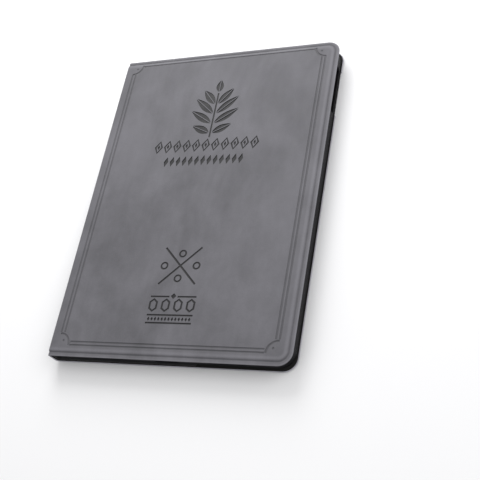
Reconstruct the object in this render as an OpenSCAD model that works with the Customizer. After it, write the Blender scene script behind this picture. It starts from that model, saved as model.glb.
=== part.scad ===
// Folio case for a tablet: a leather cover that wraps front, spine and rear round a moulded tray.
// The closed case lies on its rear cover, +Z up through the front cover. The spine is on the -X side,
// the free edge on the +X side, and the camera is near the +X +Y corner. The origin is the middle of
// the rear cover's outer face.

/* [Case] */
// Width of the closed case, spine to free edge
case_w = 175; // [172:1:190]
// Length of the closed case, along the spine
case_l = 247; // [243:1:260]
// Radius of the two rounded corners on the free edge
corner_r = 9.5; // [6:0.5:14]
// Gap between the spine's leather and the covers' leather at a fold
fold_gap = 0.4; // [0.3:0.1:1]

/* [Cover layers] */
// Thickness of the leather
leather_t = 0.8; // [0.6:0.1:1.2]
// Thickness of the stiffening boards
board_t = 0.8; // [0.6:0.1:1.5]
// Thickness of the suede lining in the front cover
lining_t = 0.4; // [0.3:0.1:0.6]
// Thickness of the lining and of the adhesive sheet under the tray
bond_t = 0.3; // [0.2:0.1:0.5]
// Distance from the leather's edge to the boards
board_inset = 4.5; // [3:0.5:6]
// Distance from the leather's edge to the linings
lining_inset = 1.2; // [0.5:0.1:3]

/* [Tablet] */
// Width of the tablet that the tray holds
tablet_w = 169.5; // [168:0.5:182]
// Length of the tablet
tablet_l = 240; // [236:0.5:252]
// Thickness of the tablet
tablet_t = 7.5; // [6:0.1:9]
// Corner radius of the tablet
tablet_r = 10; // [6:0.5:14]

/* [Tray] */
// Thickness of the tray's floor
floor_t = 0.9; // [0.8:0.1:1.5]
// Thickness of the tray's long walls
wall_t = 1.0; // [0.8:0.1:1.5]
// Thickness of the tray's short walls
end_wall_t = 1.4; // [0.8:0.1:2]
// Thickness of the lip over the tablet's edge
lip_t = 0.5; // [0.4:0.1:0.8]
// Reach of the lip over the tablet's edge
lip_reach = 1.1; // [0.6:0.1:2]
// Space between the lip and the front cover's lining
lip_space = 0.3; // [0.2:0.1:0.5]

/* [Openings] */
// Position of the lens hole across the case
lens_x = 73.8; // [70:0.1:76]
// Position of the lens hole along the case
lens_y = 110.7; // [106:0.1:113]
// Radius of the lens hole in the leather
lens_r = 3.4; // [3:0.1:5]
// Position of the microphone hole along the case
mic_y = 109; // [100:0.5:114]
// Radius of the microphone hole
mic_r = 1.7; // [1:0.1:2.5]
// Ends of the volume key slot along the free edge
volume_y = [66, 104]; // [40:1:106]
// Height of the slots for the keys
key_slot_h = 4.8; // [4.2:0.1:5.5]

/* [Stand] */
// Position of the rear cover's crease across the case
crease_x = 20.5; // [10:0.5:40]
// Width of the crease's groove
crease_w = 4.2; // [3:0.1:8]
// Positions of the ridges that hold the tray's edge as a stand
ridge_x = [2, 15, 28]; // [-20:1:60]

/* [Hidden] */
$fn = 64;

half_w = case_w / 2;
half_l = case_l / 2;

// Levels from the rear cover's outer face to the front cover's outer face
board_z = leather_t;
bond_z = board_z + board_t;
tray_z = bond_z + bond_t;
pocket_z = tray_z + floor_t;
lip_z = pocket_z + tablet_t;
tray_top = lip_z + lip_t;
lining_z = tray_top + lip_space;
front_board_z = lining_z + lining_t;
front_leather_z = front_board_z + board_t;
case_t = front_leather_z + leather_t;

// The spine's layers, from its outer face inwards
spine_in_x = -half_w + leather_t + board_t + bond_t;

// The tray stands clear of the spine
tray_left = spine_in_x + 0.4;
tray_right = tray_left + tablet_w + 2 * wall_t;
tray_half_l = tablet_l / 2 + end_wall_t;
tray_r = tablet_r + wall_t;
pocket_left = tray_left + wall_t;
pocket_right = pocket_left + tablet_w;

// The camera's recess is a rounded oblong, with the lens hole towards the case's corner
recess_mid = [lens_x - 2.4, lens_y - 0.5];
recess_size = [15, 13.4];
recess_r = 5.6;

key_slot_z = pocket_z + 1.2;
skin_overlap = 0.01;

// Outline from x0 to x1 and y0 to y1, square at the spine and rounded at the free edge
module outline(x0, x1, y0, y1, r) {
    union() {
        translate([x0, y0]) square([x1 - x0 - r, y1 - y0]);
        translate([x0, y0 + r]) square([x1 - x0, y1 - y0 - 2 * r]);
        for (y = [y0 + r, y1 - r]) translate([x1 - r, y]) circle(r);
    }
}

// Rectangle with four round corners
module round_box(x0, x1, y0, y1, r) {
    union() {
        translate([x0 + r, y0]) square([x1 - x0 - 2 * r, y1 - y0]);
        translate([x0, y0 + r]) square([x1 - x0, y1 - y0 - 2 * r]);
        for (x = [x0 + r, x1 - r], y = [y0 + r, y1 - r]) translate([x, y]) circle(r);
    }
}

// A sheet of the cover with its edges set in from the leather's edge
module sheet(z, t, inset, x0 = -half_w, x1 = half_w) {
    translate([0, 0, z]) linear_extrude(t)
        outline(x0, x1, -half_l + inset, half_l - inset, max(corner_r - inset, 2));
}

// The recess's outline, grown by a margin
module recess_outline(margin) {
    w = recess_size[0] / 2 + margin;
    l = recess_size[1] / 2 + margin;
    translate(recess_mid) round_box(-w, w, -l, l, recess_r + margin);
}

module lens_bore(r, z, h) {
    translate([lens_x, lens_y, z]) cylinder(r = r, h = h);
}

module mic_bore(r, z, h) {
    translate([0, mic_y, z]) cylinder(r = r, h = h);
}

// Outer leather of the rear cover, pressed in round the lens and along the crease
module rear_leather() {
    color("dimgray") difference() {
        union() {
            difference() {
                sheet(0, leather_t, 0);
                translate([0, 0, -1]) linear_extrude(leather_t + 2) recess_outline(0);
            }
            translate([0, 0, leather_t - skin_overlap]) linear_extrude(leather_t * 0.75) difference() {
                recess_outline(0.8);
                translate([lens_x, lens_y]) circle(lens_r);
            }
        }
        translate([crease_x - crease_w / 2, -half_l - 1, -1]) cube([crease_w, case_l + 2, 1.3]);
        mic_bore(mic_r, -1, leather_t + 2);
    }
}

module rear_board_spine_side() {
    x0 = -half_w + leather_t + 3;
    x1 = crease_x - crease_w / 2 - 0.5;
    color("saddlebrown") difference() {
        translate([x0, -half_l + board_inset, board_z])
            cube([x1 - x0, case_l - 2 * board_inset, board_t]);
        mic_bore(mic_r + 0.8, board_z - 1, board_t + 2);
    }
}

module rear_board_camera_side() {
    color("saddlebrown") difference() {
        sheet(board_z, board_t, board_inset, x0 = crease_x + crease_w / 2 + 0.5, x1 = half_w - board_inset);
        translate([0, 0, board_z - 1]) linear_extrude(board_t + 2) recess_outline(1.1);
    }
}

// Cloth tape that backs the leather where the crease parts the two boards
module crease_tape() {
    color("lightgray") translate([crease_x - crease_w / 2, -half_l + board_inset, board_z])
        cube([crease_w, case_l - 2 * board_inset, 0.3]);
}

// Lining of the part of the rear cover that lifts away from the tray as a stand
module rear_lining() {
    color("darkslategray") difference() {
        translate([-half_w + leather_t + 1, -half_l + lining_inset, bond_z])
            cube([crease_x - 1 + half_w - leather_t - 1, case_l - 2 * lining_inset, bond_t]);
        mic_bore(mic_r + 0.8, bond_z - 1, bond_t + 2);
    }
}

module tray_adhesive() {
    color("khaki") difference() {
        sheet(bond_z, bond_t, board_inset, x0 = crease_x + 1, x1 = half_w - board_inset);
        translate([0, 0, bond_z - 1]) linear_extrude(bond_t + 2) recess_outline(0.6);
    }
}

// A slot through one of the tray's walls, rounded at its ends
module wall_slot(mid, length, height, along_x) {
    turn = along_x ? 0 : 90;
    translate(mid) rotate([90, 0, turn]) translate([0, 0, -4]) linear_extrude(8) union() {
        square([length - height, height], center = true);
        for (s = [-1, 1]) translate([s * (length - height) / 2, 0]) circle(height / 2);
    }
}

module tray_cutouts() {
    wall_mid = (lip_z + pocket_z) / 2;
    volume_mid = (volume_y[0] + volume_y[1]) / 2;
    wall_slot([pocket_right + wall_t / 2, volume_mid, key_slot_z + key_slot_h / 2],
              volume_y[1] - volume_y[0], key_slot_h, false);
    wall_slot([62, tray_half_l, key_slot_z + key_slot_h / 2], 20, key_slot_h, true);
    wall_slot([0, -tray_half_l, wall_mid], 17, 5.6, true);
    for (s = [-1, 1]) wall_slot([s * 42, -tray_half_l, wall_mid], 26, 2.6, true);
    translate([-70, tray_half_l, wall_mid]) rotate([90, 0, 0]) cylinder(r = 3.2, h = 10, center = true);
}

// Moulded tray that the tablet snaps into, with a lip over its edge
module tray() {
    color([0.12, 0.12, 0.13]) difference() {
        union() {
            translate([0, 0, tray_z + 0.5]) linear_extrude(tray_top - tray_z - 0.5)
                round_box(tray_left, tray_right, -tray_half_l, tray_half_l, tray_r);
            translate([0, 0, tray_z]) linear_extrude(0.5 + skin_overlap)
                round_box(tray_left + 0.5, tray_right - 0.5, -tray_half_l + 0.5, tray_half_l - 0.5, tray_r - 0.5);
        }
        translate([0, 0, pocket_z]) linear_extrude(tablet_t)
            round_box(pocket_left, pocket_right, -tablet_l / 2, tablet_l / 2, tablet_r);
        translate([0, 0, lip_z - 1]) linear_extrude(lip_t + 2)
            round_box(pocket_left + lip_reach, pocket_right - lip_reach,
                      -tablet_l / 2 + lip_reach, tablet_l / 2 - lip_reach, tablet_r - lip_reach);
        lens_bore(lens_r + 1.6, tray_z - 1, floor_t + 2);
        mic_bore(mic_r + 0.6, tray_z - 1, floor_t + 2);
        tray_cutouts();
    }
}

// Outer leather of the spine
module spine_leather() {
    clear = leather_t + fold_gap;
    color("dimgray") translate([-half_w, -half_l, clear]) cube([leather_t, case_l, case_t - 2 * clear]);
}

module spine_stiffener() {
    color("saddlebrown") translate([-half_w + leather_t, -half_l + board_inset, tray_z + 1])
        cube([board_t, case_l - 2 * board_inset, lining_z - tray_z - 2]);
}

module spine_lining() {
    color("darkslategray") translate([-half_w + leather_t + board_t, -half_l + lining_inset, tray_z + 0.4])
        cube([bond_t, case_l - 2 * lining_inset, lining_z - tray_z - 0.8]);
}

// Outer leather of the front cover
module front_leather() {
    color("dimgray") sheet(front_leather_z, leather_t, 0);
}

magnet_r = 4;
magnet_x = half_w - 12;
magnet_ys = [-78, 0, 78];
sleep_size = [6, 14];
sleep_mid = [half_w - 14, 40];

module front_board() {
    color("saddlebrown") difference() {
        sheet(front_board_z, board_t, board_inset, x0 = -half_w + leather_t + 3, x1 = half_w - board_inset);
        for (y = magnet_ys) translate([magnet_x, y, front_board_z - 1]) cylinder(r = magnet_r + 0.1, h = 3);
        translate([sleep_mid[0] - sleep_size[0] / 2 - 0.1, sleep_mid[1] - sleep_size[1] / 2 - 0.1,
                   front_board_z - 1])
            cube([sleep_size[0] + 0.2, sleep_size[1] + 0.2, 3]);
    }
}

module front_lining() {
    color("darkslategray")
        sheet(lining_z, lining_t, lining_inset, x0 = -half_w + leather_t + 1.2,
              x1 = half_w - lining_inset);
}

// Raised bars on the lining, which hold the tray's edge when the case stands
module stand_ridges() {
    ridge_w = 3;
    ridge_l = 150;
    color("darkslategray") for (x = ridge_x)
        translate([0, 0, tray_top - 0.15]) linear_extrude(lining_z - tray_top + 0.15)
            round_box(x - ridge_w / 2, x + ridge_w / 2, -ridge_l / 2, ridge_l / 2, ridge_w / 2 - 0.01);
}

module closure_magnets() {
    color("silver") for (y = magnet_ys)
        translate([magnet_x, y, front_board_z]) cylinder(r = magnet_r, h = board_t);
}

module sleep_magnet() {
    color("silver") translate([sleep_mid[0] - sleep_size[0] / 2, sleep_mid[1] - sleep_size[1] / 2,
                               front_board_z])
        cube([sleep_size[0], sleep_size[1], board_t]);
}

rear_leather();
rear_board_spine_side();
rear_board_camera_side();
crease_tape();
rear_lining();
tray_adhesive();
tray();
spine_leather();
spine_stiffener();
spine_lining();
front_leather();
front_board();
front_lining();
stand_ridges();
closure_magnets();
sleep_magnet();
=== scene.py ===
import math

import bpy
from mathutils import Matrix, Vector


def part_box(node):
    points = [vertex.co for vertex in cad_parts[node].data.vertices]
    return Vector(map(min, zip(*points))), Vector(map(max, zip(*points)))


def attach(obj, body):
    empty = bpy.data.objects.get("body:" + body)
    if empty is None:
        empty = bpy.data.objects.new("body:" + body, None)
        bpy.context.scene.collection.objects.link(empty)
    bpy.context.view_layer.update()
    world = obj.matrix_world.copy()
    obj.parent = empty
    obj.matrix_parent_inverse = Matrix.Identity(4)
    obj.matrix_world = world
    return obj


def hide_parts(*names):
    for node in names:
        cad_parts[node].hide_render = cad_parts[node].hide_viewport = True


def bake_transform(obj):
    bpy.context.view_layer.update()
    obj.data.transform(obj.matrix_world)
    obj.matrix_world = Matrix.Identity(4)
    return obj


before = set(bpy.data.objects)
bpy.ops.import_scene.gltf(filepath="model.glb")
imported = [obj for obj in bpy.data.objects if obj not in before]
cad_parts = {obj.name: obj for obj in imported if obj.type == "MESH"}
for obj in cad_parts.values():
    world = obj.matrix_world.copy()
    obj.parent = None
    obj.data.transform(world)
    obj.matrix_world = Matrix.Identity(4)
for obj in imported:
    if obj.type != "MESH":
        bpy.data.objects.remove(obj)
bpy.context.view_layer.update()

MM = 0.001

# ---------------------------------------------------------------- sizes, in metres, from the frame
case_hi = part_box("rear_leather")[1]
HALF_W = case_hi[0]
HALF_L = case_hi[1]
CASE_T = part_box("front_leather")[1][2]
SPINE_X = -HALF_W
LEATHER_T = 0.8 * MM
LINING_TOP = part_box("front_lining")[1][2]
LINING_T = 0.4 * MM
SPINE_LINING_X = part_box("spine_lining")[0][0]
TRAY_LO, TRAY_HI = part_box("tray")
CREASE_X = (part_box("crease_tape")[0][0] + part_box("crease_tape")[1][0]) / 2
MID_SPINE = CASE_T / 2
CORNER_R = 9.5 * MM
FRONT_FOLD_R = 1.4 * MM
REAR_FOLD_R = 3.8 * MM

# ---------------------------------------------------------------- camera
camera_spot = Vector((264.0, -285.0, 481.0)) * MM
look_at = Vector((38.6, -37.65, 13.1)) * MM
camera_roll = math.radians(37.34)
camera_data = bpy.data.cameras.new("camera")
camera_data.sensor_width = 36
camera_data.lens = 65.25
camera = bpy.data.objects.new("camera", camera_data)
bpy.context.scene.collection.objects.link(camera)
level = (look_at - camera_spot).to_track_quat("-Z", "Y").to_matrix()
turned = level @ Matrix.Rotation(-camera_roll, 3, "Z")
camera.matrix_world = Matrix.Translation(camera_spot) @ turned.to_4x4()
bpy.context.scene.camera = camera


# ---------------------------------------------------------------- shader writing
class Socket:
    """One output of a shader node, with the operators that add Math nodes."""

    def __init__(self, sheet, link):
        self.sheet = sheet
        self.link = link

    def math(self, operation, other=0.0, flipped=False):
        pair = (other, self) if flipped else (self, other)
        return self.sheet.node("ShaderNodeMath", {"operation": operation}, {0: pair[0], 1: pair[1]})

    def __add__(self, other):
        return self.math("ADD", other)

    def __radd__(self, other):
        return self.math("ADD", other, True)

    def __sub__(self, other):
        return self.math("SUBTRACT", other)

    def __rsub__(self, other):
        return self.math("SUBTRACT", other, True)

    def __mul__(self, other):
        return self.math("MULTIPLY", other)

    def __rmul__(self, other):
        return self.math("MULTIPLY", other, True)

    def least(self, other):
        return self.math("MINIMUM", other)

    def most(self, other):
        return self.math("MAXIMUM", other)

    def ramp(self, low, high, to_low=0.0, to_high=1.0):
        """Smooth step from to_low at low to to_high at high."""
        setting = {"interpolation_type": "SMOOTHSTEP"}
        links = {"Value": self, "From Min": low, "From Max": high, "To Min": to_low, "To Max": to_high}
        return self.sheet.node("ShaderNodeMapRange", setting, links)


# The attribute that carries a pattern on a sheet that bends
CARRIED = "sheet_place"


class Sheet:
    """A material and the nodes on it."""

    def __init__(self, name, carried=False):
        """carried: the pattern follows the sheet as it bends, by the places that remember() stores."""
        self.carried = carried
        self.material = bpy.data.materials.new(name)
        self.material.use_nodes = True
        self.tree = self.material.node_tree
        self.shader = self.tree.nodes["Principled BSDF"]

    def node(self, kind, settings=None, links=None, out=0):
        made = self.tree.nodes.new(kind)
        for key, value in (settings or {}).items():
            setattr(made, key, value)
        for key, value in (links or {}).items():
            if isinstance(value, Socket):
                self.tree.links.new(value.link, made.inputs[key])
            else:
                made.inputs[key].default_value = value
        return Socket(self, made.outputs[out])

    def place(self, stretch=(1.0, 1.0, 1.0), turn=(0.0, 0.0, 0.0)):
        """Places in millimetres, turned and stretched."""
        if self.carried:
            at = self.node("ShaderNodeAttribute", {"attribute_name": CARRIED}, out="Vector")
        else:
            at = self.node("ShaderNodeTexCoord", out="Object")
        scale = tuple(1000.0 * s for s in stretch)
        return self.node("ShaderNodeMapping", {}, {"Vector": at, "Scale": scale, "Rotation": turn})

    def axes(self):
        """X, Y and Z in millimetres as three values."""
        at = self.place()
        return [self.node("ShaderNodeSeparateXYZ", {}, {0: at}, out=i) for i in range(3)]

    def noise(self, where, size, detail=2.0, rough=0.5, twist=0.0):
        """Soft noise whose patches are about size millimetres across."""
        links = {"Vector": where, "Scale": 1.0 / size, "Detail": detail, "Roughness": rough,
                 "Distortion": twist}
        return self.node("ShaderNodeTexNoise", {"noise_dimensions": "3D"}, links)

    def cells(self, where, size, feature="F1", spread=1.0):
        links = {"Vector": where, "Scale": 1.0 / size, "Randomness": spread}
        return self.node("ShaderNodeTexVoronoi", {"feature": feature}, links)

    def blend(self, factor, low, high):
        """Colour from low to high."""
        setting = {"data_type": "RGBA", "clamp_factor": True}
        return self.node("ShaderNodeMix", setting, {0: factor, 6: low, 7: high}, out=2)

    def bump(self, height, depth, strength=1.0):
        """Normal from a height; depth is what a height of 1 stands for, in millimetres."""
        links = {"Height": height, "Distance": depth * MM, "Strength": strength}
        return self.node("ShaderNodeBump", {}, links)

    def finish(self, links, constants=None):
        for key, value in links.items():
            self.tree.links.new(value.link, self.shader.inputs[key])
        for key, value in (constants or {}).items():
            self.shader.inputs[key].default_value = value
        return self.material


def grey(value, warmth=0.0):
    """A near-grey colour; warmth above 0 is browner, below 0 is bluer."""
    return (value * (1 + warmth / 2), value * (1 + warmth / 2), value * (1 - warmth), 1.0)


# ---------------------------------------------------------------- materials
def slate(value):
    """Grey with a trace of violet."""
    return (value, value * 0.98, value * 1.09, 1.0)


def border(s):
    """How far a place is inside the cover's free edge, in millimetres, up to the corner radius."""
    x, y, _ = s.axes()
    radius = CORNER_R / MM
    past_x = (x - (HALF_W / MM - radius)).most(0.0)
    past_y = (y.math("ABSOLUTE") - (HALF_L / MM - radius)).most(0.0)
    return radius - (past_x * past_x + past_y * past_y).math("SQRT")


def leather(name, tone=1.0, gloss=0.0):
    """Grey nubuck leather with cloudy shading, a painted highlight on the pressed border's ridge and along
    the free edge, and painted shade in the border's groove; tone below 1 is a darker, heat-pressed patch,
    tone above 1 a painted highlight.
    """
    s = Sheet(name, carried=True)
    at = s.place()
    inside = border(s)
    # Painted light by distance from the edge: a painted highlight on the border's ridge and along the free
    # edge, painted shade in the border's groove
    ridge_highlight = inside.ramp(3.3, 4.3) * inside.ramp(4.9, 6.8, 1.0, 0.0)
    groove = inside.ramp(1.9, 2.5) * inside.ramp(2.9, 3.4, 1.0, 0.0)
    rim_highlight = inside.ramp(0.4, 1.5, 1.0, 0.0)
    clouds = s.noise(s.place((1.0, 0.7, 1.0)), 42.0, 3.0, 0.5, 0.6)
    patches = s.noise(at, 11.0, 3.0, 0.6, 0.3)
    rub = s.noise(s.place((1.0, 0.35, 1.0)), 6.0, 2.0, 0.5)
    nap = s.noise(at, 1.1, 4.0, 0.7)
    grain = s.cells(at, 0.55)
    shade = (clouds.ramp(0.3, 0.7, -0.13, 0.12) + patches.ramp(0.3, 0.7, -0.06, 0.06)
             + rub.ramp(0.35, 0.7, -0.03, 0.03) + nap.ramp(0.2, 0.8, -0.06, 0.06)
             + ridge_highlight * 0.24 - groove * 0.2 + rim_highlight * 0.34)
    amount = (shade + 0.5).least(1.0).most(0.0)
    colour = s.blend(amount, slate(0.054 * tone), slate(0.182 * tone))
    rough = patches.ramp(0.3, 0.7, 0.66 - gloss, 0.76 - gloss) + nap.ramp(0.2, 0.8, -0.04, 0.04)
    height = grain.ramp(0.0, 0.6) * 0.5 + nap * 0.7 + patches * 0.6
    return s.finish({"Base Color": colour, "Roughness": rough, "Normal": s.bump(height, 0.05, 0.7)},
                    {"Sheen Weight": 0.12, "Sheen Roughness": 0.45, "Specular IOR Level": 0.35})


def suede(name, value):
    """Dark microfibre with a short brushed nap."""
    s = Sheet(name, carried=True)
    at = s.place((1.0, 0.4, 1.0))
    nap = s.noise(at, 0.5, 3.0, 0.7)
    strokes = s.noise(s.place((1.0, 0.3, 1.0), (0.0, 0.0, 0.5)), 16.0, 3.0, 0.6, 1.0)
    amount = nap * 0.55 + strokes.ramp(0.35, 0.65) * 0.45
    colour = s.blend(amount, grey(value * 0.6, -0.06), grey(value * 1.6, -0.04))
    rough = strokes.ramp(0.3, 0.7, 0.82, 0.94)
    return s.finish({"Base Color": colour, "Roughness": rough, "Normal": s.bump(nap, 0.08, 0.6)},
                    {"Sheen Weight": 0.25, "Sheen Roughness": 0.5, "Specular IOR Level": 0.2})


def moulded(name, value, rough_mid, texture):
    """Soft moulded plastic with a fine spark texture and faint flow marks."""
    s = Sheet(name)
    at = s.place()
    sparks = s.noise(at, texture, 2.0, 0.6)
    flow = s.noise(s.place((1.0, 0.2, 1.0)), 24.0, 2.0, 0.5, 0.8)
    colour = s.blend(flow.ramp(0.3, 0.7), grey(value * 0.85, -0.12), grey(value * 1.2, -0.1))
    rough = flow.ramp(0.3, 0.7, rough_mid - 0.06, rough_mid + 0.06) + sparks.ramp(0.2, 0.8, -0.05, 0.05)
    return s.finish({"Base Color": colour, "Roughness": rough, "Normal": s.bump(sparks, 0.03, 0.5)},
                    {"Specular IOR Level": 0.14})


def fibre_board(name):
    """Dense grey board pressed from paper fibre."""
    s = Sheet(name)
    fibres = s.noise(s.place((1.0, 0.12, 1.0), (0.0, 0.0, 0.3)), 0.7, 4.0, 0.7, 0.5)
    flecks = s.cells(s.place(), 3.0).ramp(0.0, 0.12, 1.0, 0.0)
    tone = s.noise(s.place(), 20.0, 2.0, 0.5)
    amount = fibres * 0.6 + tone * 0.4 - flecks * 0.3
    colour = s.blend(amount, (0.045, 0.043, 0.04, 1.0), (0.16, 0.152, 0.14, 1.0))
    rough = fibres.ramp(0.2, 0.8, 0.8, 0.95)
    return s.finish({"Base Color": colour, "Roughness": rough, "Normal": s.bump(fibres, 0.06, 0.5)})


def plain_weave(name, value, pitch):
    """Thin woven cloth; pitch is the distance between threads in millimetres."""
    s = Sheet(name)
    x, y, _ = s.axes()
    across = ((x * (2 * math.pi / pitch)).math("SINE") + 1.0) * 0.5
    along = ((y * (2 * math.pi / pitch)).math("SINE") + 1.0) * 0.5
    over = across * along + (1 - across) * (1 - along)
    slub = s.noise(s.place((0.3, 1.0, 1.0)), 1.6, 2.0, 0.6)
    colour = s.blend(over * 0.6 + slub * 0.4, grey(value * 0.45, 0.02), grey(value, 0.02))
    rough = slub.ramp(0.2, 0.8, 0.8, 0.95)
    return s.finish({"Base Color": colour, "Roughness": rough, "Normal": s.bump(over, 0.1, 0.6)},
                    {"Specular IOR Level": 0.2})


def glue_film(name):
    """Smoky adhesive film with small bubbles."""
    s = Sheet(name)
    at = s.place()
    bubbles = s.cells(at, 4.0).ramp(0.05, 0.16, 1.0, 0.0)
    streaks = s.noise(s.place((1.0, 0.15, 1.0)), 5.0, 2.0, 0.5)
    colour = s.blend(streaks * 0.7 + bubbles * 0.3, (0.06, 0.056, 0.045, 1.0), (0.17, 0.16, 0.135, 1.0))
    rough = streaks.ramp(0.2, 0.8, 0.28, 0.45)
    return s.finish({"Base Color": colour, "Roughness": rough, "Normal": s.bump(bubbles, 0.05, 0.4)})


def plated(name):
    """Bright nickel plate with fine scuffs."""
    s = Sheet(name)
    scuffs = s.noise(s.place((1.0, 0.05, 1.0), (0.0, 0.0, 0.7)), 0.3, 2.0, 0.6)
    tone = s.noise(s.place(), 2.5, 2.0, 0.5)
    colour = s.blend(tone, (0.52, 0.5, 0.46, 1.0), (0.72, 0.71, 0.68, 1.0))
    rough = scuffs.ramp(0.2, 0.8, 0.2, 0.36)
    return s.finish({"Base Color": colour, "Roughness": rough, "Normal": s.bump(scuffs, 0.005, 0.4)},
                    {"Metallic": 1.0})


nubuck = leather("nubuck")
pressed_nubuck = leather("nubuck_pressed", 0.7, 0.06)
darkened_nubuck = leather("nubuck_heat_darkened", 0.11, 0.1)
leather_backing = plain_weave("leather_backing", 0.016, 0.5)
# Much lighter leather for the cut edges: a painted highlight where the edges catch the light
cut_edge_highlight = leather("nubuck_cut_edge_highlight", 2.2)
# Lighter leather for the crease's raised side: a painted highlight
crease_highlight_nubuck = leather("nubuck_crease_highlight", 1.25)
suede_lining = suede("suede_lining", 0.02)
tray_plastic = moulded("tray_plastic", 0.0065, 0.55, 0.35)
board_stock = fibre_board("fibre_board")
cloth_tape = plain_weave("cloth_tape", 0.09, 0.9)
bond_film = glue_film("bond_film")
magnet_plate = plated("magnet_plate")

# The leather's finishes, two of them painted highlights (on the cut edges and along the crease), and the
# number of each
SKIN_FINISHES = (nubuck, pressed_nubuck, darkened_nubuck, leather_backing, cut_edge_highlight, crease_highlight_nubuck)
PLAIN, PRESSED, DARKENED, BACKING, CUT, CREASE_HIGHLIGHT = range(6)


# ---------------------------------------------------------------- modelling helpers
def settle(piece_name):
    """Names the active object and leaves it with its place in its mesh."""
    piece = bpy.context.active_object
    piece.name = piece_name
    piece.data.name = piece_name
    bpy.ops.object.transform_apply(location=True, rotation=True, scale=True)
    return piece


def only(*pieces):
    """Selects these objects alone; the first is active."""
    bpy.ops.object.select_all(action="DESELECT")
    for piece in pieces:
        piece.select_set(True)
    bpy.context.view_layer.objects.active = pieces[0]


def pick(piece, kind, test):
    """Selects the faces, edges or vertices of piece that pass the test, and opens it for editing."""
    only(piece)
    mesh = piece.data
    for part in list(mesh.polygons) + list(mesh.edges) + list(mesh.vertices):
        part.select = False
    points = [v.co for v in mesh.vertices]
    if kind == "FACE":
        for face in mesh.polygons:
            face.select = bool(test(face.center, face.normal))
    elif kind == "EDGE":
        for edge in mesh.edges:
            edge.select = bool(test(points[edge.vertices[0]], points[edge.vertices[1]]))
    else:
        for vertex in mesh.vertices:
            vertex.select = bool(test(vertex.co))
    bpy.ops.object.mode_set(mode="EDIT")
    bpy.ops.mesh.select_mode(type=kind)


def done():
    bpy.ops.object.mode_set(mode="OBJECT")


def everything(*place):
    return True


def near(a, b, slack=0.02 * MM):
    return abs(a - b) < slack


def give(piece, *materials):
    piece.data.materials.clear()
    for material in materials:
        piece.data.materials.append(material)


def apply_modifier(piece, kind, **settings):
    only(piece)
    modifier = piece.modifiers.new(kind.lower(), kind)
    for key, value in settings.items():
        setattr(modifier, key, value)
    bpy.ops.object.modifier_apply(modifier=modifier.name)


def cut_at(piece, point, normal, clear=False):
    """Adds a line of edges where a plane meets the piece; clear takes away what is in front of it."""
    pick(piece, "FACE", everything)
    bpy.ops.mesh.bisect(plane_co=point, plane_no=normal, clear_outer=clear, threshold=1e-7)
    done()


def box_piece(name, lo, hi):
    """A block between two corners, as a start for a piece."""
    bpy.ops.object.select_all(action="DESELECT")
    mid = [(a + b) / 2 for a, b in zip(lo, hi)]
    bpy.ops.mesh.primitive_cube_add(size=1, location=mid)
    bpy.context.active_object.scale = [b - a for a, b in zip(lo, hi)]
    return settle(name)


def round_upright(piece, radius, steps):
    """Rounds the upright corners of a block."""
    pick(piece, "EDGE", lambda a, b: near(a.x, b.x) and near(a.y, b.y) and not near(a.z, b.z))
    bpy.ops.mesh.bevel(offset=radius, segments=steps, affect="EDGES")
    done()


def combine(piece, tool, operation):
    """Cuts the tool out of the piece, or adds it, and takes the tool away."""
    apply_modifier(piece, "BOOLEAN", operation=operation, object=tool, solver="EXACT")
    bpy.data.objects.remove(tool)


def remember(piece):
    """Stores where each point lies at rest, so that a pattern stays on the sheet as it bends."""
    places = [value for vertex in piece.data.vertices for value in vertex.co]
    piece.data.attributes.new(CARRIED, "FLOAT_VECTOR", "POINT").data.foreach_set("vector", places)


def smooth(piece, angle=35):
    only(piece)
    bpy.ops.object.shade_smooth_by_angle(angle=math.radians(angle))


def mirror_up(piece):
    """Turns a sheet made for the front over to the rear: z becomes the case's thickness less z."""
    piece.data.transform(Matrix.Translation((0, 0, CASE_T)) @ Matrix.Diagonal((1, 1, -1, 1)))
    pick(piece, "FACE", everything)
    bpy.ops.mesh.flip_normals()
    done()


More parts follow.
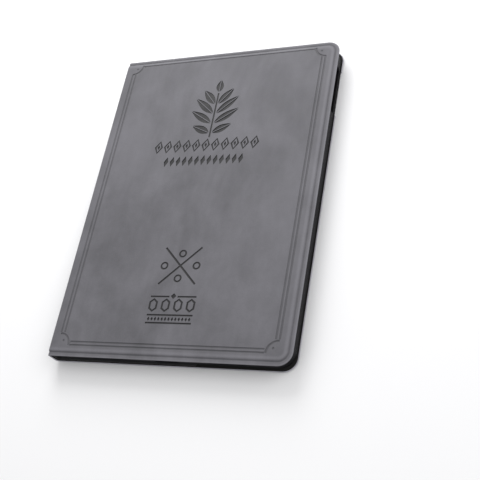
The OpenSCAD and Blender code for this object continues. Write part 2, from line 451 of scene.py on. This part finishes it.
def wrap_sheet(name, finishes, x_free, half_len, corner, edge, face_z, spine_x, fold_r, thickness, bends):
    """A sheet that lies flat from its free edge to the spine and bends down over it to mid-spine.

    edge is the pressed border: pairs of distance from the edge and height against the flat face.
    bends are the places of the extra lines of edges where the sheet will bend, out from the spine.
    """
    overhang = 12 * MM
    x_bend = spine_x + fold_r
    bpy.ops.object.select_all(action="DESELECT")
    bpy.ops.mesh.primitive_plane_add(size=1)
    sheet = bpy.context.active_object
    sheet.scale = (x_free - spine_x + overhang, 2 * half_len, 1)
    sheet.location = ((x_free + spine_x - overhang) / 2, 0, face_z + edge[0][1])
    settle(name)
    pick(sheet, "VERT", lambda v: near(v.x, x_free))
    bpy.ops.mesh.bevel(offset=corner, segments=14, affect="VERTICES")
    bpy.ops.mesh.select_all(action="SELECT")
    for (near_in, low), (far_in, high) in zip(edge, edge[1:]):
        bpy.ops.mesh.inset(thickness=far_in - near_in, depth=high - low, use_even_offset=True)
    done()
    cut_at(sheet, (x_bend, 0, 0), (-1, 0, 0), clear=True)
    for bend_x in bends:
        cut_at(sheet, (bend_x, 0, 0), (-1, 0, 0))
    pick(sheet, "EDGE", lambda a, b: near(a.x, x_bend) and near(b.x, x_bend))
    bpy.ops.mesh.spin(steps=8, angle=math.pi / 2, center=(x_bend, 0, face_z - fold_r), axis=(0, 1, 0))
    drop = face_z - fold_r - MID_SPINE
    rows = 6
    for _ in range(rows):
        bpy.ops.mesh.extrude_region_move(TRANSFORM_OT_translate={"value": (0, 0, -drop / rows)})
    done()
    pick(sheet, "FACE", everything)
    bpy.ops.mesh.remove_doubles(threshold=1e-6)
    bpy.ops.mesh.normals_make_consistent(inside=False)
    done()
    top = max(sheet.data.polygons, key=lambda face: face.area)
    if top.normal.z < 0:
        pick(sheet, "FACE", everything)
        bpy.ops.mesh.flip_normals()
        done()
    give(sheet, *finishes)
    # The cut edges take the lighter cut edge finish, a painted highlight
    apply_modifier(sheet, "SOLIDIFY", thickness=thickness, offset=-1, use_even_offset=True,
                   use_quality_normals=True, material_offset=BACKING, material_offset_rim=CUT)
    return sheet


# ---------------------------------------------------------------- tools that press and cut the leather
def mark(tool, finish):
    """The faces that this tool leaves take the skin's finish of that number."""
    give(tool, *SKIN_FINISHES)
    for face in tool.data.polygons:
        face.material_index = finish
    return tool


def groove_tool(lines, width, depth, closed=False):
    """Round rods laid along lines of (x, y) in millimetres, which press round-bottomed grooves."""
    radius = (width ** 2 / 4 + depth ** 2) / (2 * depth)
    curve = bpy.data.curves.new("groove", "CURVE")
    curve.dimensions = "3D"
    curve.bevel_depth = radius * MM
    curve.bevel_resolution = 3
    curve.use_fill_caps = True
    for line in lines:
        spline = curve.splines.new("POLY")
        spline.points.add(len(line) - 1)
        for point, (x, y) in zip(spline.points, line):
            point.co = (x * MM, y * MM, CASE_T + (radius - depth) * MM, 1)
        spline.use_cyclic_u = closed
    rods = bpy.data.objects.new("groove_rods", curve)
    bpy.context.scene.collection.objects.link(rods)
    only(rods)
    bpy.ops.object.convert(target="MESH")
    rods = bpy.context.active_object
    # The end caps come loose from the rods and are welded on
    pick(rods, "VERT", everything)
    bpy.ops.mesh.remove_doubles(threshold=0.002 * MM)
    bpy.ops.mesh.normals_make_consistent(inside=False)
    done()
    return rods


def stamp_tool(outline, depth):
    """A flat-ended stamp with that outline of (x, y) in millimetres."""
    bpy.ops.object.select_all(action="DESELECT")
    bpy.ops.mesh.primitive_circle_add(vertices=len(outline), radius=1, fill_type="NGON")
    tool = bpy.context.active_object
    for vertex, (x, y) in zip(tool.data.vertices, outline):
        vertex.co = (x * MM, y * MM, CASE_T - depth * MM)
    pick(tool, "FACE", everything)
    bpy.ops.mesh.extrude_region_move(TRANSFORM_OT_translate={"value": (0, 0, (depth + 0.3) * MM)})
    bpy.ops.mesh.select_all(action="SELECT")
    bpy.ops.mesh.normals_make_consistent(inside=False)
    done()
    return tool


def press(skin, tools, finish):
    """Presses a set of tools that don't cross each other into the skin."""
    only(*tools)
    if len(tools) > 1:
        bpy.ops.object.join()
    combine(skin, mark(tools[0], finish), "DIFFERENCE")


def score(skin, lines, width, closed=False):
    """Scores darkened lines into the cover."""
    press(skin, [groove_tool(lines, width, MARK_DEPTH, closed)], DARKENED)


def stamp(skin, outlines):
    """Stamps darkened shapes into the cover."""
    press(skin, [stamp_tool(outline, MARK_DEPTH) for outline in outlines], DARKENED)


def arc(centre, radius, start, end, steps):
    """Points along an arc, in degrees."""
    turns = [math.radians(start + (end - start) * i / steps) for i in range(steps + 1)]
    return [(centre[0] + radius * math.cos(t), centre[1] + radius * math.sin(t)) for t in turns]


def lozenge(x, y, width, height, lean=0.0):
    """A diamond; lean moves its top to the right."""
    return [(x - width / 2, y), (x + lean, y + height / 2), (x + width / 2, y), (x - lean, y - height / 2)]


def row(middle, pitch, count):
    """Evenly spaced places about a middle."""
    return [middle + pitch * (i - (count - 1) / 2) for i in range(count)]


# ---------------------------------------------------------------- the front cover's leather
COVER_EDGE = [(0.0, -0.8 * MM), (0.12 * MM, -0.6 * MM), (0.4 * MM, -0.5 * MM), (2.1 * MM, -0.48 * MM),
              (2.5 * MM, -0.66 * MM), (2.9 * MM, -0.64 * MM), (3.3 * MM, -0.3 * MM),
              (3.9 * MM, -0.06 * MM), (4.8 * MM, 0.0)]

# The pressed frame, in millimetres: its outer and inner line at the sides and foot, and one line at the top
FRAME_LEFT = (-80.6, -77.9)
FRAME_RIGHT = (77.8, 75.3)
FRAME_BOTTOM = (-115.6, -113.2)
FRAME_TOP = 117.7
NOTCH_R = 8.0
# The marks' middle line and depth, in millimetres
ART_X = -1.3
MARK_DEPTH = 0.35


def press_frame(skin):
    """Lines all round, double but at the top, with a quarter-round notch and a bead at each corner."""
    notch = NOTCH_R + 1.0
    low = FRAME_BOTTOM[0] + notch
    high = FRAME_TOP + 2.4 - notch
    left = FRAME_LEFT[0] + notch
    right = FRAME_RIGHT[0] - notch
    lines = [[(x, low), (x, high)] for x in FRAME_LEFT + FRAME_RIGHT]
    lines += [[(left, y), (right, y)] for y in FRAME_BOTTOM + (FRAME_TOP,)]
    press(skin, [groove_tool(lines, 1.5, 0.38)], PRESSED)
    corners = [(FRAME_LEFT[0], FRAME_BOTTOM[0], 0), (FRAME_RIGHT[0], FRAME_BOTTOM[0], 90),
               (FRAME_RIGHT[0], FRAME_TOP + 1.2, 180), (FRAME_LEFT[0], FRAME_TOP + 1.2, 270)]
    arcs = [arc((x, y), NOTCH_R, turn, turn + 90, 12) for x, y, turn in corners]
    press(skin, [groove_tool(arcs, 1.7, 0.42)], PRESSED)
    inward = [(1, 1), (-1, 1), (-1, -1), (1, -1)]
    beads = [stamp_tool(arc((x + 3.4 * sx, y + 3.2 * sy), 0.8, 0, 330, 11), 0.2)
             for (x, y, turn), (sx, sy) in zip(corners, inward)]
    press(skin, beads, PRESSED)


def half_leaf(base, angle, length, width, side):
    """One side of a leaf, from its vein outwards."""
    steps = 9
    vein = 0.28
    turn = math.radians(angle)
    cos = math.cos(turn)
    sin = math.sin(turn)
    edge = [(length * i / steps, side * (vein + width / 2 * math.sin(math.pi * (i / steps) ** 0.85)))
            for i in range(steps + 1)]
    return [(base[0] + u * cos - v * sin, base[1] + u * sin + v * cos) for u, v in edge]


def press_sprig(skin):
    """A leafy sprig in the upper middle of the cover."""
    stem_low = 46.5
    stem_high = 85.5
    score(skin, [[(ART_X, stem_low), (ART_X, stem_high)]], 1.3)
    # Each pair of leaves: height, length and angle
    pairs = [(50.5, 15.5, 26), (59.0, 21.0, 34), (67.5, 21.0, 42), (76.0, 16.5, 51)]
    leaves = [half_leaf((ART_X, stem_high + 1.2), 90, 10.5, 5.4, side) for side in (-1, 1)]
    for height, length, angle in pairs:
        for side in (-1, 1):
            lean = angle if side > 0 else 180 - angle
            base = (ART_X + side * 1.35, height)
            leaves += [half_leaf(base, lean, length, 5.8, flank) for flank in (-1, 1)]
    stamp(skin, leaves)


def press_bands(skin):
    """Two rows of diamonds under the sprig."""
    upper_y = 40.0
    upper = row(ART_X - 1.3, 7.6, 11)
    score(skin, [lozenge(x, upper_y, 5.4, 9.6, 0.6) for x in upper], 1.6, closed=True)
    stamp(skin, [lozenge(x, upper_y, 2.0, 4.2) for x in upper])
    lower_y = 27.0
    stamp(skin, [lozenge(x, lower_y, 3.6, 8.4, 0.6) for x in row(ART_X - 1.0, 4.9, 13)])


def press_cross(skin):
    """Two crossed lines with a small ring in each quarter."""
    middle = (ART_X, -56.5)
    reach = 13.6
    for lean in (-1, 1):
        line = [(middle[0] - reach, middle[1] - lean * reach), (middle[0] + reach, middle[1] + lean * reach)]
        score(skin, [line], 1.45)
    ring_spots = ((0, 9), (0, -9.4), (-12, 0), (12, 0))
    rings = [arc((middle[0] + x, middle[1] + y), 2.3, 0, 345, 23) for x, y in ring_spots]
    score(skin, rings, 1.3, closed=True)


def press_plaque(skin):
    """Four slim hexagons between rules, near the bottom of the cover."""
    top = -79.2
    half = 16.8
    gap = 3.0
    rules = [[(ART_X - half, top), (ART_X - gap, top)], [(ART_X + gap, top), (ART_X + half, top)]]
    rules += [[(ART_X - half, y), (ART_X + half, y)] for y in (-92.4, -98.0)]
    score(skin, rules, 1.25)
    hexagon = [(-2.5, -87.6), (-2.5, -83.2), (0, -81.2), (2.5, -83.2), (2.5, -87.6), (0, -89.6)]
    score(skin, [[(middle + x, y) for x, y in hexagon] for middle in row(ART_X, 9.2, 4)], 1.65, closed=True)
    diamonds = [lozenge(ART_X, top + 0.4, 4.0, 4.2)]
    diamonds += [lozenge(x, -95.2, 1.8, 3.0) for x in row(ART_X, 2.5, 13)]
    stamp(skin, diamonds)


def front_skin():
    bends = [SPINE_X + step * MM for step in (2.6, 3.0, 3.4, 3.8, 4.2)]
    skin = wrap_sheet("front_cover_leather", SKIN_FINISHES, HALF_W, HALF_L, CORNER_R, COVER_EDGE,
                      CASE_T, SPINE_X, FRONT_FOLD_R, LEATHER_T, bends)
    press_frame(skin)
    press_sprig(skin)
    press_bands(skin)
    press_cross(skin)
    press_plaque(skin)
    return skin


# ---------------------------------------------------------------- the rear cover's leather
LENS = Vector((73.8, 110.7, 0)) * MM
RECESS_MID = LENS + Vector((-2.4, -0.5, 0)) * MM
RECESS_HALF = (7.5 * MM, 6.7 * MM)
RECESS_R = 5.6 * MM
MIC_Y = 109 * MM
VOLUME_SLOT = (66 * MM, 104 * MM)
# The crease's section: distance from its middle and depth, in millimetres; and where its darker pressed line
# and its painted highlight lie
CREASE_SECTION = [(-3.4, 0.0), (-2.6, 0.05), (-2.0, 0.3), (-1.2, 0.38), (0.9, 0.38), (1.6, 0.6), (2.0, 0.62),
                  (2.4, 0.14), (3.2, 0.0)]
SHARP_LINE = (1.6, 2.4)
CREASE_HIGHLIGHT_LINE = (-2.6, -2.0)


def round_tool(name, spot, radius, low, high, steps=48):
    """A cylinder between two heights."""
    bpy.ops.object.select_all(action="DESELECT")
    bpy.ops.mesh.primitive_cylinder_add(vertices=steps, radius=radius, depth=high - low,
                                        location=(spot[0], spot[1], (low + high) / 2))
    return settle(name)


def flare_tool(name, spot, radius, low, high, grow):
    """A short cone, wider at its low end, which eases a hole's edge."""
    bpy.ops.object.select_all(action="DESELECT")
    bpy.ops.mesh.primitive_cone_add(vertices=48, radius1=radius + grow, radius2=radius, depth=high - low,
                                    location=(spot[0], spot[1], (low + high) / 2))
    return settle(name)


def press_crease(skin):
    """The line where the rear cover folds to make a stand: a shallow band with a sharper line on one side and
    a painted highlight along its raised other side.
    """
    for offset, depth in CREASE_SECTION:
        cut_at(skin, (CREASE_X + offset * MM, 0, 0), (1, 0, 0))
    outer = 0.7 * MM
    for face in skin.data.polygons:
        across = face.center.x / MM - CREASE_X / MM
        if face.center.z < outer and face.normal.z < -0.3:
            if SHARP_LINE[0] < across < SHARP_LINE[1]:
                face.material_index = PRESSED
            # A painted highlight along the crease's raised side
            elif CREASE_HIGHLIGHT_LINE[0] < across < CREASE_HIGHLIGHT_LINE[1]:
                face.material_index = CREASE_HIGHLIGHT
    for vertex in skin.data.vertices:
        for offset, depth in CREASE_SECTION:
            if near(vertex.co.x, CREASE_X + offset * MM, 0.01 * MM) and vertex.co.z < outer:
                vertex.co.z += min(depth * MM, outer - vertex.co.z)


def rear_skin():
    bends = [SPINE_X + step * MM for step in (4.0, 4.4, 5.0)]
    skin = wrap_sheet("rear_cover_leather", SKIN_FINISHES, HALF_W, HALF_L, CORNER_R, COVER_EDGE,
                      CASE_T, SPINE_X, REAR_FOLD_R, LEATHER_T, bends)
    mirror_up(skin)
    press_crease(skin)
    plug = box_piece("recess_plug", (RECESS_MID.x - RECESS_HALF[0], RECESS_MID.y - RECESS_HALF[1], -MM),
                     (RECESS_MID.x + RECESS_HALF[0], RECESS_MID.y + RECESS_HALF[1], 0.95 * MM))
    round_upright(plug, RECESS_R, 10)
    # The plug's inner end narrows, so the recess has soft sloping walls
    pick(plug, "FACE", lambda c, n: n.z > 0.9)
    bpy.ops.transform.resize(value=(0.88, 0.86, 1))
    done()
    mark(plug, PLAIN)
    # The recess walls take the darker pressed finish: painted shade inside the recess, on leather pressed
    # into it
    for face in plug.data.polygons:
        if face.normal.z < 0.9:
            face.material_index = PRESSED
    wall = 0.8 * MM
    floor_lo = (RECESS_MID.x - RECESS_HALF[0] - wall, RECESS_MID.y - RECESS_HALF[1] - wall, 0.75 * MM)
    floor_hi = (RECESS_MID.x + RECESS_HALF[0] + wall, RECESS_MID.y + RECESS_HALF[1] + wall, 1.4 * MM)
    pan = box_piece("recess_pan", floor_lo, floor_hi)
    round_upright(pan, RECESS_R + wall, 10)
    combine(skin, mark(pan, PLAIN), "UNION")
    combine(skin, plug, "DIFFERENCE")
    notch = box_piece("key_notch", (HALF_W - 0.8 * MM, VOLUME_SLOT[0], -MM),
                      (HALF_W + 2 * MM, VOLUME_SLOT[1], 3 * MM))
    round_upright(notch, 0.7 * MM, 5)
    for tool in (round_tool("lens_drill", LENS, 3.4 * MM, -MM, 3 * MM),
                 round_tool("mic_drill", (0, MIC_Y), 1.6 * MM, -MM, 3 * MM, 32),
                 flare_tool("mic_flare", (0, MIC_Y), 1.5 * MM, -0.1 * MM, 0.35 * MM, 0.9 * MM), notch):
        combine(skin, mark(tool, PLAIN), "DIFFERENCE")
    return skin


front_leather = front_skin()
rear_leather = rear_skin()
for skin in (front_leather, rear_leather):
    smooth(skin)
    remember(skin)
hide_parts("front_leather")
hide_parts("rear_leather", "spine_leather")
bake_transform(front_leather)
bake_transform(rear_leather)

# ---------------------------------------------------------------- linings
LINING_EDGE = [(0.0, 0.18 * MM), (0.15 * MM, 0.28 * MM), (2.2 * MM, 0.3 * MM), (3.2 * MM, 0.05 * MM),
               (3.8 * MM, 0.0)]
LINING_FOLD_R = 1.0 * MM
REAR_LINING_FOLD_R = 2.2 * MM
REAR_LINING_T = 0.3 * MM


def front_lining():
    lo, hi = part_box("front_lining")
    bends = [SPINE_X + step * MM for step in (2.9, 3.2, 3.5, 3.8, 4.2)]
    return wrap_sheet("front_lining_suede", [suede_lining], hi[0], hi[1], 8.3 * MM, LINING_EDGE,
                      LINING_TOP, SPINE_LINING_X, LINING_FOLD_R, LINING_T, bends)


def rear_lining():
    lo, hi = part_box("rear_lining")
    bends = [SPINE_X + step * MM for step in (4.0, 4.4, 5.0)]
    lining = wrap_sheet("rear_lining_suede", [suede_lining], hi[0], hi[1], 0.6 * MM, [(0.0, 0.0)],
                        CASE_T - lo[2], SPINE_LINING_X, REAR_LINING_FOLD_R, REAR_LINING_T, bends)
    mirror_up(lining)
    return lining


front_suede = front_lining()
rear_suede = rear_lining()
for lining in (front_suede, rear_suede):
    smooth(lining)
    remember(lining)
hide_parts("front_lining")
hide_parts("rear_lining", "spine_lining")
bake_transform(front_suede)
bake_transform(rear_suede)


# ---------------------------------------------------------------- stand bars on the lining
def stand_bars():
    """Raised bars under the suede that hold the tray's edge."""
    lo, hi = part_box("stand_ridges")
    width = 3 * MM
    pitch = (hi[0] - lo[0] - width) / 2
    bars = []
    for i in range(3):
        x = lo[0] + i * pitch
        bar = box_piece("stand_bar", (x, lo[1], lo[2]), (x + width, hi[1], hi[2]))
        round_upright(bar, 1.4 * MM, 6)
        pick(bar, "EDGE", lambda a, b: near(a.z, lo[2]) and near(b.z, lo[2]))
        bpy.ops.mesh.bevel(offset=0.35 * MM, segments=4, affect="EDGES")
        done()
        bars.append(bar)
    only(*bars)
    bpy.ops.object.join()
    bars[0].name = "stand_bars"
    return bars[0]


bars = stand_bars()
smooth(bars)
remember(bars)
give(bars, suede_lining)
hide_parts("stand_ridges")
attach(bars, "front_cover")

# ---------------------------------------------------------------- tray
TRAY_R = 11 * MM
POCKET_Z = TRAY_LO[2] + 0.9 * MM
LIP_T = 0.5 * MM
LIP_REACH = 1.1 * MM
KEY_SLOT_LOW = POCKET_Z + 1.2 * MM
KEY_SLOT_HIGH = KEY_SLOT_LOW + 4.8 * MM


def slot_tool(name, lo, hi, axis, radius):
    """A block whose edges along one axis are rounded."""
    tool = box_piece(name, lo, hi)
    others = [i for i in range(3) if i != axis]
    pick(tool, "EDGE", lambda a, b: all(near(a[i], b[i]) for i in others))
    bpy.ops.mesh.bevel(offset=radius, segments=8, affect="EDGES")
    done()
    return tool


def cut_slot(tray, side, axis, start, end, low, high):
    """A slot through a wall, with an eased outer edge. side is the wall's outer face along axis."""
    out = 1 if side > 0 else -1
    ease = 0.45 * MM
    proud = 2 * MM
    for grow, deep in ((0.0, 4 * MM), (ease, 0.35 * MM)):
        depth_span = sorted((side - out * deep, side + out * proud))
        lo = [0, 0, low - grow]
        hi = [0, 0, high + grow]
        lo[axis], hi[axis] = depth_span
        lo[1 - axis], hi[1 - axis] = start - grow, end + grow
        radius = (high - low) / 2 + grow - 0.01 * MM
        combine(tray, slot_tool("slot_tool", lo, hi, axis, radius), "DIFFERENCE")


def tray_shell():
    tray = box_piece("tray_shell", TRAY_LO, TRAY_HI)
    round_upright(tray, TRAY_R, 16)
    pick(tray, "EDGE", lambda a, b: near(a.z, TRAY_LO[2]) and near(b.z, TRAY_LO[2]))
    bpy.ops.mesh.bevel(offset=0.6 * MM, segments=3, affect="EDGES")
    done()
    top = TRAY_HI[2]
    pick(tray, "EDGE", lambda a, b: near(a.z, top) and near(b.z, top))
    bpy.ops.mesh.bevel(offset=0.4 * MM, segments=3, affect="EDGES")
    done()
    pick(tray, "FACE", lambda c, n: n.z > 0.9 and near(c.z, top))
    bpy.ops.mesh.inset(thickness=1.5 * MM, depth=0)
    bpy.ops.mesh.inset(thickness=0.2 * MM, depth=-0.15 * MM)
    bpy.ops.mesh.extrude_region_move(TRANSFORM_OT_translate={"value": (0, 0, 0.15 * MM - LIP_T)})
    # The lip: the pocket widens below it
    open_half = (TRAY_HI[0] - TRAY_LO[0]) / 2 - 2.1 * MM
    bpy.ops.mesh.extrude_region_move()
    bpy.ops.transform.resize(value=((open_half + LIP_REACH) / open_half, 1 + LIP_REACH / TRAY_HI[1], 1))
    drop = top - LIP_T - POCKET_Z
    fillet = 0.6 * MM
    bpy.ops.mesh.extrude_region_move(TRANSFORM_OT_translate={"value": (0, 0, fillet - drop)})
    bpy.ops.mesh.inset(thickness=0.18 * MM, depth=-0.42 * MM)
    bpy.ops.mesh.inset(thickness=0.42 * MM, depth=-0.18 * MM)
    done()
    # Volume keys and power key
    cut_slot(tray, TRAY_HI[0], 0, VOLUME_SLOT[0], VOLUME_SLOT[1], KEY_SLOT_LOW, KEY_SLOT_HIGH)
    cut_slot(tray, TRAY_HI[1], 1, 52 * MM, 72 * MM, KEY_SLOT_LOW, KEY_SLOT_HIGH)
    # Charging port, two speakers and headphone plug, centred on the tablet's edge
    wall_mid = POCKET_Z + 3.75 * MM
    openings = [(TRAY_LO[1], 0.0, 8.5 * MM, 2.8 * MM), (TRAY_LO[1], -42 * MM, 13 * MM, 1.3 * MM),
                (TRAY_LO[1], 42 * MM, 13 * MM, 1.3 * MM), (TRAY_HI[1], -70 * MM, 3.2 * MM, 3.2 * MM)]
    for side, middle, half_width, half_height in openings:
        cut_slot(tray, side, 1, middle - half_width, middle + half_width, wall_mid - half_height,
                 wall_mid + half_height)
    combine(tray, round_tool("lens_drill", LENS, 5 * MM, MM, 4 * MM), "DIFFERENCE")
    combine(tray, round_tool("mic_drill", (0, MIC_Y), 2.3 * MM, MM, 4 * MM, 32), "DIFFERENCE")
    return tray


tray = tray_shell()
smooth(tray)
give(tray, tray_plastic)
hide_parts("tray")
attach(tray, "rear_panel")

# ---------------------------------------------------------------- finishes of the CAD nodes
node_finish = {
    "rear_board_spine_side": board_stock, "rear_board_camera_side": board_stock,
    "front_board": board_stock, "spine_stiffener": board_stock, "crease_tape": cloth_tape,
    "tray_adhesive": bond_film, "closure_magnets": magnet_plate, "sleep_magnet": magnet_plate,
}
for node_name, material in node_finish.items():
    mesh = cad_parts[node_name].data
    mesh.materials.clear()
    mesh.materials.append(material)

# ---------------------------------------------------------------- floor and lights
bpy.ops.object.select_all(action="DESELECT")
bpy.ops.mesh.primitive_plane_add(size=6, location=(0, 0, -0.0003))
floor = bpy.context.active_object
floor.name = "floor"
floor_sheet = Sheet("pale_floor")
floor.data.materials.append(floor_sheet.finish({}, {"Base Color": (0.86, 0.86, 0.87, 1), "Roughness": 0.9}))


def area_light(name, spot, aim, size, power):
    data = bpy.data.lights.new(name, "AREA")
    data.size = size
    data.energy = power
    light = bpy.data.objects.new(name, data)
    light.location = spot
    light.rotation_euler = (Vector(aim) - Vector(spot)).to_track_quat("-Z", "Y").to_euler()
    bpy.context.scene.collection.objects.link(light)


area_light("top_light", (-0.14, 0.52, 0.34), (0, 0.05, 0), 0.42, 3.4)
area_light("side_light", (0.9, 0.3, 0.8), (0, 0, 0), 0.8, 4)
world = bpy.data.worlds.new("studio")
world.use_nodes = True
world.node_tree.nodes["Background"].inputs[0].default_value = (1.0, 1.0, 1.0, 1)
world.node_tree.nodes["Background"].inputs[1].default_value = 0.75
bpy.context.scene.world = world
bpy.context.scene.view_settings.view_transform = "Standard"
